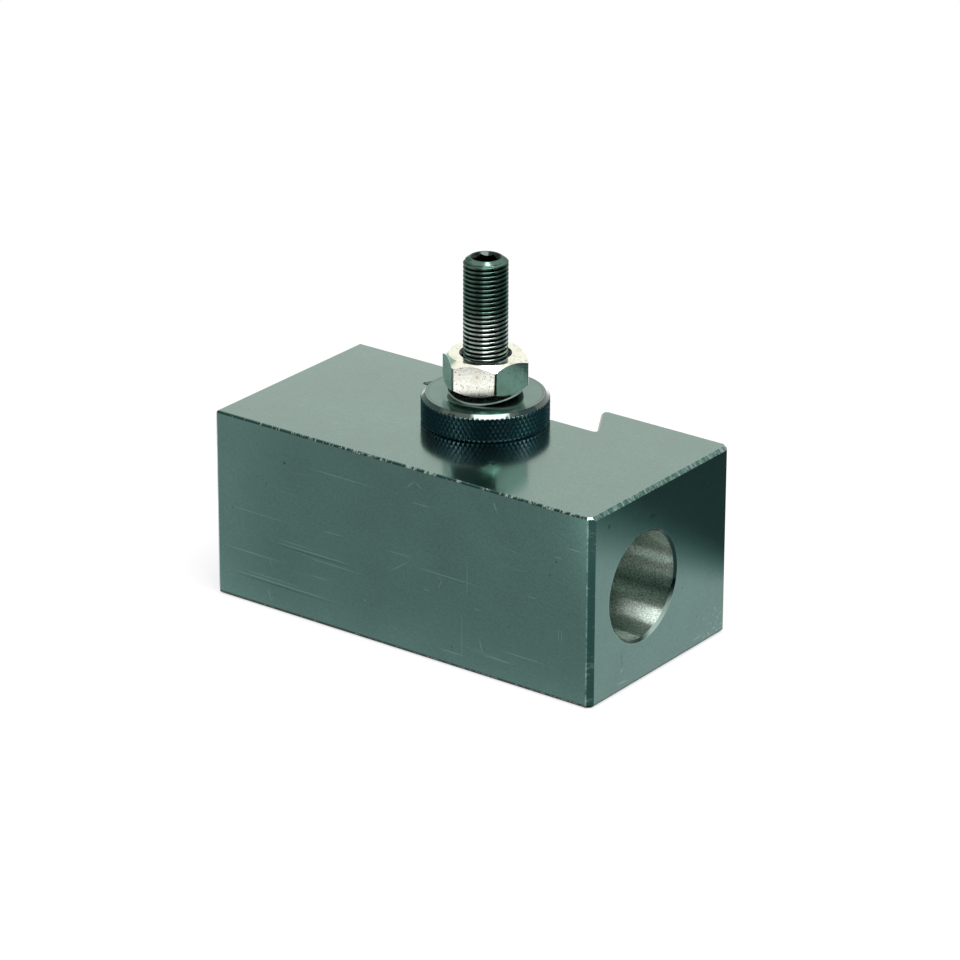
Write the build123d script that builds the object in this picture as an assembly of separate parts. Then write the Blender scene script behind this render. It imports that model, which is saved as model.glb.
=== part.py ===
from build123d import *
import os
from math import cos, radians, sqrt, tan

# Lathe tool holder with a No. 3 Morse taper socket. It hangs on a tool post by a
# dovetail groove, and a nut on a stud sets its height. Sizes are in millimetres.
# X runs along the socket towards its mouth, Y towards the groove, Z up.
# The origin is at the middle of the block's underside.

# Block
block_length = 101.6
block_width = 51.0
block_height = 43.6
end_chamfer = 1.3
mouth_end_level_chamfer = 0.75
rear_end_level_chamfer = 1.4
top_edge_break = 0.4
lower_edge_break = 0.7

# Dovetail groove in the back face, for the tool post
groove_depth = 11.1
groove_floor_width = 47.2
dovetail_angle = 60.0
groove_mouth_radius = 1.2
groove_root_radius = 0.5

# Morse taper socket, open at the +X end, and the slot for the tool's tang behind it
gauge_diameter = 23.825
length_per_mm_of_taper = 19.922
socket_to_groove = 20.9
socket_height = 21.9
socket_chamfer = 0.6
tang_slot_width = 8.3
tang_slot_height = 23.0
tang_slot_chamfer = 0.5
rear_wall = 17.6
drill_point_angle = 118.0

# Height stud, M10 x 1, screwed into the block's top
stud_diameter = 9.8
stud_reach = 37.4
stud_depth = 10.6
stud_to_groove = 8.5
stud_tip_diameter = 7.2
stud_tip_height = 0.9
tapped_hole_spare = 0.8
thread_clearance = 0.05
thread_countersink = 0.8
key_across_flats = 5.0
key_socket_depth = 6.0
key_mouth_diameter = 6.4

# Knurled thumb nut, which bears on the top of the tool post
thumb_nut_diameter = 28.2
thumb_nut_thickness = 6.2
thumb_nut_top_chamfer = 1.0
thumb_nut_lower_chamfer = 0.4
seat_gap = 0.05

# Bowed spring washer
washer_diameter = 16.6
washer_play = 0.4
washer_thickness = 0.35
washer_bow = 1.15
washer_low_line_angle = -78.0

# Lock nut
lock_nut_across_flats = 17.0
lock_nut_height = 7.6
lock_nut_corner_radius = 0.8
lock_nut_face_diameter = 16.1
lock_nut_chamfer_angle = 38.0
lock_nut_corner_angle = 19.1

socket_depth = block_length - rear_wall
groove_floor_y = block_width / 2 - groove_depth
socket_y = groove_floor_y - socket_to_groove
stud_y = groove_floor_y - stud_to_groove
socket_mouth = Location((block_length / 2, socket_y, socket_height), (0, 90, 0))
stud_foot = Location((0, stud_y, block_height))

thumb_nut_base = seat_gap
washer_base = thumb_nut_base + thumb_nut_thickness + seat_gap
washer_radius = washer_diameter / 2
washer_bend_radius = (washer_radius**2 + washer_bow**2) / (2 * washer_bow)
washer_inner_bend_radius = washer_bend_radius - washer_thickness
washer_height = washer_bend_radius - sqrt(washer_inner_bend_radius**2 - washer_radius**2)
lock_nut_base = washer_base + washer_height + seat_gap
threaded_hole_radius = stud_diameter / 2 + thread_clearance
same_place = 1e-6


def turned(profile):
    """Solid of revolution about Z, from (radius, height) points."""
    section = make_face(Polyline([(radius, 0, height) for radius, height in profile], close=True))
    return revolve(section, Axis.Z)


def drilled_hole(mouth_radius, bottom_radius, depth, chamfer_size):
    """Cutter for a round hole with a chamfered mouth at Z = 0 and a drill point at its end."""
    wall_slope = (mouth_radius - bottom_radius) / depth
    point_depth = bottom_radius / tan(radians(drill_point_angle / 2))
    return turned(
        [
            (0, 0),
            (mouth_radius + chamfer_size, 0),
            (mouth_radius - wall_slope * chamfer_size, -chamfer_size),
            (bottom_radius, -depth),
            (0, -depth - point_depth),
        ]
    )


def threaded_ring_hole(thickness):
    """Cutter for a nut's hole, countersunk at both faces, from Z = 0 to the thickness."""
    wide = threaded_hole_radius + thread_countersink
    return turned(
        [
            (0, 0),
            (wide, 0),
            (threaded_hole_radius, thread_countersink),
            (threaded_hole_radius, thickness - thread_countersink),
            (wide, thickness),
            (0, thickness),
        ]
    )


def block_outline():
    """Plan of the block, with the dovetail groove open at its back."""
    undercut = groove_depth / tan(radians(dovetail_angle))
    end_x, back_y = block_length / 2, block_width / 2
    floor_x = groove_floor_width / 2
    mouth_x = floor_x - undercut
    corners = [
        (-end_x, -back_y),
        (end_x, -back_y),
        (end_x, back_y),
        (mouth_x, back_y),
        (floor_x, groove_floor_y),
        (-floor_x, groove_floor_y),
        (-mouth_x, back_y),
        (-end_x, back_y),
    ]
    outline = make_face(Polyline(corners, close=True))
    roots = outline.vertices().filter_by(lambda v: abs(v.Y - groove_floor_y) < same_place)
    outline = fillet(roots, groove_root_radius)
    lips = outline.vertices().filter_by(lambda v: abs(abs(v.X) - mouth_x) < same_place)
    outline = fillet(lips, groove_mouth_radius)
    ends = outline.vertices().filter_by(lambda v: abs(abs(v.X) - end_x) < same_place)
    return chamfer(ends, end_chamfer)


def holder_block():
    """Steel block with its groove, taper socket, tang slot and tapped hole."""
    block = extrude(block_outline(), block_height)
    for side, size in ((0, rear_end_level_chamfer), (-1, mouth_end_level_chamfer)):
        end = block.faces().filter_by(Axis.X).sort_by(Axis.X)[side]
        block = chamfer(end.edges().filter_by(Axis.Y), size)
    for side, size in ((0, lower_edge_break), (-1, top_edge_break)):
        flat = block.faces().filter_by(Axis.Z).sort_by(Axis.Z)[side]
        ends = flat.edges().filter_by(Axis.Y).sort_by(Axis.X)
        block = chamfer(flat.edges() - [ends[0], ends[-1]], size)

    gauge_radius = gauge_diameter / 2
    end_radius = gauge_radius - socket_depth / length_per_mm_of_taper / 2
    socket = drilled_hole(gauge_radius, end_radius, socket_depth, socket_chamfer)
    block -= socket_mouth * socket

    slot = extrude(SlotOverall(tang_slot_height, tang_slot_width), -2 * rear_wall)
    block -= socket_mouth * Pos(0, 0, -socket_depth) * slot
    rear = block.faces().filter_by(Axis.X).sort_by(Axis.X)[0]
    block = chamfer(rear.inner_wires()[0].edges(), tang_slot_chamfer)

    hole_depth = stud_depth + tapped_hole_spare
    hole = drilled_hole(threaded_hole_radius, threaded_hole_radius, hole_depth, thread_countersink)
    return block - stud_foot * hole


def height_stud():
    """Stud with tapered tips and a hexagon socket for its key in the top."""
    radius, tip_radius = stud_diameter / 2, stud_tip_diameter / 2
    stud = turned(
        [
            (0, -stud_depth),
            (tip_radius, -stud_depth),
            (radius, stud_tip_height - stud_depth),
            (radius, stud_reach - stud_tip_height),
            (tip_radius, stud_reach),
            (0, stud_reach),
        ]
    )
    key_radius = key_across_flats / 2
    key = extrude(RegularPolygon(key_radius, 6, major_radius=False), -key_socket_depth)
    key_chamfer = key_mouth_diameter / 2 - key_radius
    pilot = drilled_hole(key_radius, key_radius, key_socket_depth, key_chamfer)
    return stud_foot * (stud - Pos(0, 0, stud_reach) * (key + pilot))


def thumb_nut():
    """Round nut, drawn plain where its rim is knurled."""
    radius = thumb_nut_diameter / 2
    top = thumb_nut_thickness
    nut = turned(
        [
            (0, 0),
            (radius - thumb_nut_lower_chamfer, 0),
            (radius, thumb_nut_lower_chamfer),
            (radius, top - thumb_nut_top_chamfer),
            (radius - thumb_nut_top_chamfer, top),
            (0, top),
        ]
    )
    nut -= threaded_ring_hole(thumb_nut_thickness)
    return stud_foot * Pos(0, 0, thumb_nut_base) * nut


def spring_washer():
    """Thin ring bent about a level line, so that its middle is low and its ends are high."""
    sheet = Cylinder(washer_bend_radius, 2 * washer_diameter)
    sheet -= Cylinder(washer_inner_bend_radius, 2 * washer_diameter)
    sheet = Rot(0, 0, washer_low_line_angle) * Pos(0, 0, washer_bend_radius) * Rot(0, 90, 0) * sheet
    ring = Circle(washer_radius) - Circle(stud_diameter / 2 + washer_play)
    washer = extrude(ring, washer_bend_radius) & sheet
    return stud_foot * Pos(0, 0, washer_base) * washer


def lock_nut():
    """Hexagon nut with both ends chamfered."""
    corner_radius = lock_nut_across_flats / 2 / cos(radians(30))
    face_radius = lock_nut_face_diameter / 2
    corner_drop = (corner_radius - face_radius) * tan(radians(lock_nut_chamfer_angle))
    hexagon = RegularPolygon(lock_nut_across_flats / 2, 6, major_radius=False)
    hexagon = fillet(hexagon.vertices(), lock_nut_corner_radius)
    blank = turned(
        [
            (0, 0),
            (face_radius, 0),
            (corner_radius, corner_drop),
            (corner_radius, lock_nut_height - corner_drop),
            (face_radius, lock_nut_height),
            (0, lock_nut_height),
        ]
    )
    nut = extrude(hexagon, lock_nut_height) & blank
    nut -= threaded_ring_hole(lock_nut_height)
    return stud_foot * Pos(0, 0, lock_nut_base) * Rot(0, 0, lock_nut_corner_angle) * nut


parts = {
    "holder_block": holder_block(),
    "height_stud": height_stud(),
    "thumb_nut": thumb_nut(),
    "spring_washer": spring_washer(),
    "lock_nut": lock_nut(),
}

os.makedirs("parts", exist_ok=True)
for name, solid in parts.items():
    export_step(solid, f"parts/{name}.step")
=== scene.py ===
from functools import partial
from math import atan2, cos, pi, radians, sin, tan

import bmesh
import bpy
from bpy.props import FloatProperty, FloatVectorProperty, IntProperty, PointerProperty
from mathutils import Matrix, Vector


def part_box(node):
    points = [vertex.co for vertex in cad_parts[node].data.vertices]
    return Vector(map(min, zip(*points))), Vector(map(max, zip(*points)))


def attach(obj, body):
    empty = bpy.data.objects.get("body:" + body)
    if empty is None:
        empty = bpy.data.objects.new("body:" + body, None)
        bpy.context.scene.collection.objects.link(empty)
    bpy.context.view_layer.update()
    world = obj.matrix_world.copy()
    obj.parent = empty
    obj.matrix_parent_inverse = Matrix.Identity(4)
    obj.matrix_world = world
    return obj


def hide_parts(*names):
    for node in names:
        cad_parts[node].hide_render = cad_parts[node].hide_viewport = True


# Lathe tool holder with a Morse taper socket: blackened steel block, threaded stud, knurled thumb
# nut, bowed spring washer and zinc plated lock nut. Lengths are in metres, in the model's own frame.

bl_info = {
    "name": "Taper Socket Tool Holder",
    "version": (1, 0, 0),
    "blender": (4, 5, 0),
    "location": "3D View > Sidebar > Tool Holder",
    "description": "Finishes the pieces of a lathe tool holder and sets up its studio",
    "category": "Object",
}

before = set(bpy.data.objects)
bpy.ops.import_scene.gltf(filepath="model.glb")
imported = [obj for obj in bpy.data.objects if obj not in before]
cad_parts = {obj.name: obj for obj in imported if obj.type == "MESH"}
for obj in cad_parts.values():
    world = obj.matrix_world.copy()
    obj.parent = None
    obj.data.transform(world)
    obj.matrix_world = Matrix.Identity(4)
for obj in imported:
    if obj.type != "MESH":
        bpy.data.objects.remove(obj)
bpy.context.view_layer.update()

MM = 0.001
PER_MM = 1000.0

block_low, block_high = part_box("holder_block")
stud_low, stud_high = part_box("height_stud")
nut_low, nut_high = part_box("thumb_nut")
washer_low, washer_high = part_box("spring_washer")
stud_axis = (stud_low + stud_high) / 2

# Where the socket and the groove are in the block
SOCKET_AXIS = Vector((0.0, -6.5 * MM, 21.9 * MM))
SOCKET_RADIUS = 11.9125 * MM
SOCKET_END = -33.2 * MM
SOCKET_CHAMFER = 0.6 * MM
GROOVE_FLOOR_Y = 14.4 * MM
GROOVE_HALF_WIDTH = 23.6 * MM
END_CHAMFER = 1.3 * MM
MOUTH_LEVEL_CHAMFER = 0.75 * MM
REAR_LEVEL_CHAMFER = 1.4 * MM
TOP_EDGE_BREAK = 0.4 * MM
LOWER_EDGE_BREAK = 0.7 * MM

# The nuts: their threaded hole, its countersink, and how far out the lock nut's rounded corners lie
NUT_HOLE = 9.9 * MM
NUT_COUNTERSINK = 0.8 * MM
LOCK_NUT_CORNERS = 9.69 * MM

# Meshes: steps round the stud, edges that stay sharp, and points that count as one
STUD_STEPS = 72
STEPS_PER_TOOTH = 4
SMOOTH_ANGLE = radians(20)
DRILL_POINT_HALF_ANGLE = radians(59)
MERGE_DISTANCE = 0.002 * MM
SAME_LEVEL = 0.001 * MM

# How near a point must be to a chamfer's plane to count as on it, in millimetres
CHAMFER_BAND = 0.07

# The photograph's camera, from a fit to the block's edges. Angles are in degrees.
CAMERA_AZIMUTH = 36.58
CAMERA_ELEVATION = 22.742
CAMERA_ROLL = 0.175
CAMERA_DISTANCE = 1.0232
CAMERA_AIM = Vector((0.0, -0.0255, 0.0))
CAMERA_OFFSET = (-0.01771, -0.03662)
CAMERA_LENS = 178.04

# The studio's softbox, its cloths, which hang in an arc about the block with a step every few degrees, and
# its colours
SOFTBOX_PLACE = Vector((0.3, -0.19, 1.0))
SOFTBOX_SIZE = (0.6, 0.62)
CLOTH_DISTANCE = 1.6
CLOTH_FOOT = 0.02
CLOTH_STEP = 4.0
PAPER_WHITE = "#F4F4F4"
LIGHT_WHITE = "#FFFFFF"
WARM_WHITE = "#FFFFF8"
GREEN_WHITE = "#C7F5F4"
DARK_GREEN = "#23403E"
PALE_GREEN = "#CBF1EE"


def linear(text):
    """Scene colour, RGBA, for an sRGB colour written as #RRGGBB."""
    channels = [int(text[i : i + 2], 16) / 255 for i in (1, 3, 5)]
    return [c / 12.92 if c <= 0.04045 else ((c + 0.055) / 1.055) ** 2.4 for c in channels] + [1.0]


def colour(name, description, default):
    """Colour property with its default as an sRGB hex value."""
    return FloatVectorProperty(
        name=name, description=description, subtype="COLOR", size=4, min=0.0, max=1.0, default=linear(default)
    )


def length(name, description, default):
    """Length property, with its default in metres."""
    return FloatProperty(name=name, description=description, unit="LENGTH", min=0.0, precision=5, default=default)


def share(name, description, default):
    """Property that runs from 0 to 1."""
    return FloatProperty(name=name, description=description, subtype="FACTOR", min=0.0, max=1.0, default=default)


class BlockFinish(bpy.types.PropertyGroup):
    """Colours and wear of the holder block."""

    steel: colour("Blackened Steel", "Ground faces, blackened and oiled", "#507A72")
    worn: colour("Worn Edge", "Steel that shows where the blackening is rubbed thin", "#AFC0BA")
    level: colour("Level Chamfer", "Oxide left between the bright streaks of the level end chamfers", "#2A625C")
    # The upright chamfers' darker colour is painted shade, for the dimmer room that they mirror
    upright: colour("Upright Chamfer", "Milled end chamfers, with a thicker oxide", "#284C49")
    scratch: colour("Scratch", "Steel in the bottom of a scratch", "#93BCB2")
    # The Broken Edge colour is also the painted contact shadow at the block's foot
    broken: colour("Broken Edge", "Filed edges along the block", "#1B3A38")
    socket: colour("Ground Socket", "Bright ground wall of the taper socket", "#D8E6DC")
    ring: colour("Socket Chamfer", "Turned chamfer at the socket's mouth", "#143230")
    wear: share("Edge Wear", "How far the level chamfers are rubbed bright", 0.8)
    roughness: share("Roughness", "Roughness of the blackened faces", 0.17)


class StudSize(bpy.types.PropertyGroup):
    """Thread and colour of the height stud."""

    pitch: length("Thread Pitch", "Rise of the thread in one turn", 1.0 * MM)
    depth: length("Thread Depth", "From the thread's crest to its root", 0.52 * MM)
    tip: length("Tip Diameter", "Across the flat at each end of the stud", 7.2 * MM)
    taper: length("Tip Height", "Height of the chamfer at each end", 0.9 * MM)
    key_mouth: length("Key Socket Mouth", "Diameter of the key socket's chamfered mouth", 6.4 * MM)
    key_flats: length("Key Size", "Hexagon socket, across flats", 5.0 * MM)
    key_depth: length("Key Socket Depth", "Depth of the hexagon socket", 6.0 * MM)
    steel: colour("Black Oxide", "Threaded steel, blackened and oiled", "#355E51")
    worn: colour("Rubbed Crest", "Crests rubbed bright by the nuts", "#C9D2CC")
    sheen: colour("Sheen", "The thread's shine, seen at a slant", "#6C7F78")


class ThumbNutSize(bpy.types.PropertyGroup):
    """Knurl, chamfers and colour of the thumb nut."""

    teeth: IntProperty(name="Knurl Teeth", description="Diamonds round the rim", min=12, max=200, default=80)
    knurl_depth: length("Knurl Depth", "Depth of the diamond knurl's grooves", 0.34 * MM)
    knurl_angle: FloatProperty(
        name="Knurl Angle", description="Grooves' angle to the nut's axis", subtype="ANGLE", default=radians(30)
    )
    top_chamfer: length("Top Chamfer", "Turned chamfer at the top of the rim", 1.0 * MM)
    lower_chamfer: length("Lower Chamfer", "Turned chamfer at the foot of the rim", 0.4 * MM)
    hole: length("Threaded Hole", "Diameter of the hole for the stud", NUT_HOLE)
    countersink: length("Countersink", "Chamfer at both ends of the hole", NUT_COUNTERSINK)
    steel: colour("Black Oxide", "Turned steel, blackened", "#4C756D")
    chamfered: colour("Chamfer", "Turned chamfer, rubbed by handling", "#4A5653")
    groove: colour("Tool Mark", "Grooves of the turning tool, dark with oil", "#14201F")
    rim: colour("Knurl", "Knurled rim, blackened", "#2A4A54")
    worn: colour("Rubbed Crest", "Crests of the knurl rubbed bright", "#80979A")


class LockNutFinish(bpy.types.PropertyGroup):
    """Colours of the lock nut."""

    zinc: colour("Zinc Plate", "Bright zinc, slightly yellowed", "#F8F8EE")
    cloud: colour("Cloud", "Zinc that has yellowed more", "#D2CBA8")
    pit: colour("Pit", "Small brown pits", "#6E6A50")
    # The Oiled Thread colour is painted shade in the nut's hole
    oiled: colour("Oiled Thread", "Countersunk thread of the hole", "#1C2B27")
    # The Stained Corner colour is painted shade on the rounded corners
    corner_shade: colour("Stained Corner", "Upright corners, stained dark", "#27403A")


class WasherFinish(bpy.types.PropertyGroup):
    """Colours of the spring washer."""

    steel: colour("Spring Steel", "Rolled and hardened strip, oiled", "#7E8A85")
    # The Sheared Edge colour is a painted highlight on the washer's rounded outer edge
    edge: colour("Sheared Edge", "Bright cut edge", "#F4F8F2")


class StudioSettings(bpy.types.PropertyGroup):
    """Floor, lamp and room light."""

    floor_radius: length("Floor Radius", "Radius of the round white floor", 2.6)
    overhead: FloatProperty(name="Overhead Softbox", description="Radiance of the softbox above", min=0.0, default=11.0)
    room: FloatProperty(name="Room Light", description="Strength of the world's soft light", min=0.0, default=0.5)


def add_node(tree, kind, inputs=(), **settings):
    """Adds a node, sets its properties, and fills or links its inputs, given by name or in order.

    A node given as an input is linked by the first output that it has in use. A Map Range takes, in order, a
    value, the two ends that it runs from and the two that it runs to.
    """
    node = tree.nodes.new("ShaderNode" + kind)
    for name, value in settings.items():
        setattr(node, name, value)
    for key, value in inputs.items() if isinstance(inputs, dict) else enumerate(inputs):
        if isinstance(value, bpy.types.Node):
            value = next(output for output in value.outputs if output.enabled)
        if isinstance(value, bpy.types.NodeSocket):
            tree.links.new(value, node.inputs[key])
        else:
            node.inputs[key].default_value = value
    return node


def new_material(name):
    """Empty node material, and add_node for its tree."""
    material = bpy.data.materials.new(name)
    material.use_nodes = True
    material.node_tree.nodes.clear()
    return material, partial(add_node, material.node_tree)


def place_in_mm(add, centre):
    """Object coordinates in millimetres, counted from a centre."""
    coordinates = add("TexCoord").outputs["Object"]
    offset = add("VectorMath", [coordinates, centre], operation="SUBTRACT")
    return add("VectorMath", {0: offset, "Scale": PER_MM}, operation="SCALE")


def place_round_stud(add):
    """Object coordinates in millimetres from the stud's axis, and the distance from that axis."""
    place = place_in_mm(add, (stud_axis.x, stud_axis.y, 0.0))
    flat = add("VectorMath", [place, (1.0, 1.0, 0.0)], operation="MULTIPLY")
    return place, add("VectorMath", [flat], operation="LENGTH")


def use_material(item, material):
    """Gives an object this one material."""
    item.data.materials.clear()
    item.data.materials.append(material)


def marks_mask(add, place, marks, level, across):
    """Strength, 0 to 1, of a list of scratches and nicks on one flat face of the block.

    Each mark is a long thin ellipsoid: its start and end on the face, and its half width, in millimetres.
    The face looks along X where across is true, at the X that level gives, or else along Y.
    """
    reach = 3.0
    deepest = None
    for start, end, width in marks:
        run = Vector(end) - Vector(start)
        middle = (Vector(end) + Vector(start)) / 2
        half = run.length / 2
        if across:
            centre, turn, size = (level, *middle), (atan2(run.y, run.x), 0.0, 0.0), (reach, half, width)
        else:
            centre, turn, size = (middle.x, level, middle.y), (0.0, -atan2(run.y, run.x), 0.0), (half, reach, width)
        inputs = {"Vector": place, "Location": centre, "Rotation": turn, "Scale": size}
        local = add("Mapping", inputs, vector_type="TEXTURE")
        one = add("TexGradient", {"Vector": local}, gradient_type="SPHERICAL").outputs["Fac"]
        deepest = one if deepest is None else add("Math", [deepest, one], operation="MAXIMUM")
    return add("MapRange", [deepest, 0.0, 0.5])


# Marks that show on the block: start and end on the face, and half width, in millimetres. On the front
# face they are (x, z), and on the end face (y, z).
FRONT_SCRATCHES = [
    ((-36.1, 16.6), (-10.1, 16.6), 0.16),
    ((-34.0, 17.5), (-21.5, 17.4), 0.11),
    ((-49.2, 6.9), (-14.5, 6.7), 0.15),
    ((-44.0, 7.7), (-25.0, 7.5), 0.1),
    ((-49.2, 12.2), (-29.8, 12.2), 0.12),
    ((-23.9, 11.3), (-18.9, 11.3), 0.12),
    ((-26.0, 15.2), (-8.3, 15.2), 0.12),
    ((-21.0, 22.7), (-14.2, 22.7), 0.13),
    ((-49.0, 22.0), (-28.0, 22.0), 0.08),
    ((-3.3, 22.7), (4.6, 22.7), 0.13),
    ((2.4, 20.8), (23.9, 20.8), 0.13),
    ((-2.4, 17.8), (3.6, 22.0), 0.12),
    ((10.7, 20.3), (11.9, 19.4), 0.13),
    ((11.9, 19.6), (11.0, 17.5), 0.12),
    ((6.8, 16.2), (9.0, 16.2), 0.13),
    ((-25.8, 36.4), (-4.5, 36.4), 0.13),
    ((3.3, 35.6), (9.6, 35.6), 0.12),
    ((2.4, 38.4), (4.6, 40.6), 0.14),
    ((4.2, 40.7), (7.0, 39.0), 0.13),
    ((25.3, 41.6), (26.4, 38.7), 0.2),
    ((43.9, 35.6), (48.6, 35.6), 0.14),
    ((41.0, 32.8), (43.3, 32.8), 0.13),
    ((33.6, 22.0), (37.4, 22.0), 0.1),
    ((20.0, 15.3), (22.6, 15.3), 0.12),
    ((21.7, 9.2), (22.8, 5.1), 0.15),
    ((26.1, 7.5), (40.2, 7.5), 0.12),
    ((22.0, 5.2), (31.4, 5.2), 0.17),
    ((10.5, 3.5), (18.6, 3.5), 0.13),
    ((42.5, 13.2), (42.5, 17.0), 0.11),
    ((43.3, 13.2), (43.3, 17.0), 0.11),
    ((18.6, 16.0), (18.6, 27.0), 0.08),
    ((17.2, 1.5), (17.2, 15.0), 0.08),
    ((-35.3, 12.7), (-34.7, 10.4), 0.12),
    ((-36.1, 5.4), (-35.0, 1.7), 0.12),
    ((-9.0, 9.25), (-8.7, 9.25), 0.3),
]
FRONT_PITS = [
    ((-31.3, 35.9), (-30.2, 35.9), 0.42),
    ((-36.2, 29.8), (-35.6, 29.8), 0.32),
    ((-45.9, 21.75), (-45.3, 21.75), 0.3),
    ((41.45, 31.75), (42.05, 31.75), 0.32),
    ((39.9, 28.4), (40.5, 28.4), 0.3),
    ((14.2, 4.7), (14.8, 4.7), 0.3),
    ((-35.5, 16.1), (-11.0, 16.1), 0.12),
    ((-48.5, 6.3), (-16.0, 6.1), 0.12),
]
END_SCRATCHES = [
    ((-10.0, 40.0), (-9.5, 40.0), 0.35),
    ((16.2, 40.0), (16.8, 40.0), 0.35),
    ((14.4, 39.9), (14.8, 39.9), 0.3),
    ((16.8, 36.9), (17.4, 38.1), 0.2),
    ((-0.5, 34.0), (0.0, 34.0), 0.3),
    ((-14.8, 4.4), (-13.4, 5.6), 0.25),
    ((20.6, 7.6), (21.4, 6.0), 0.2),
    ((21.6, 4.9), (22.3, 4.2), 0.25),
    ((-16.6, 2.6), (-11.0, 1.9), 0.2),
    ((12.0, 2.2), (16.6, 2.6), 0.2),
]
END_PITS = [
    ((-20.2, 40.0), (-18.8, 40.0), 0.7),
    ((-4.6, 37.0), (-2.4, 37.0), 0.5),
    ((13.6, 7.6), (14.2, 7.6), 0.3),
    ((7.9, 16.3), (8.5, 16.3), 0.3),
    ((-14.25, 5.6), (-14.25, 10.4), 0.16),
]


def ground_socket_wall(add, place, bright):
    """Shader of the socket's wall, ground round and round, so that highlights spread along its axis.

    Its grit is drawn at 0.35 mm.
    """
    grit = add("TexNoise", {"Vector": place, "Scale": 2.9, "Detail": 1.0, "Roughness": 0.6})
    salt = add("MapRange", [grit, 0.35, 0.65, 0.6, 1.2])
    inputs = {
        "Base Color": add("VectorMath", {0: bright[:3], "Scale": salt}, operation="SCALE"),
        "Metallic": 1.0,
        "Roughness": 0.31,
        "Anisotropic": 1.0,
        "Normal": add("Bump", {"Height": grit, "Strength": 0.15, "Distance": 0.03 * MM}),
        "Tangent": add("VectorTransform", [(1.0, 0.0, 0.0)], convert_from="OBJECT", convert_to="WORLD"),
    }
    return add("BsdfPrincipled", inputs)


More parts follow.
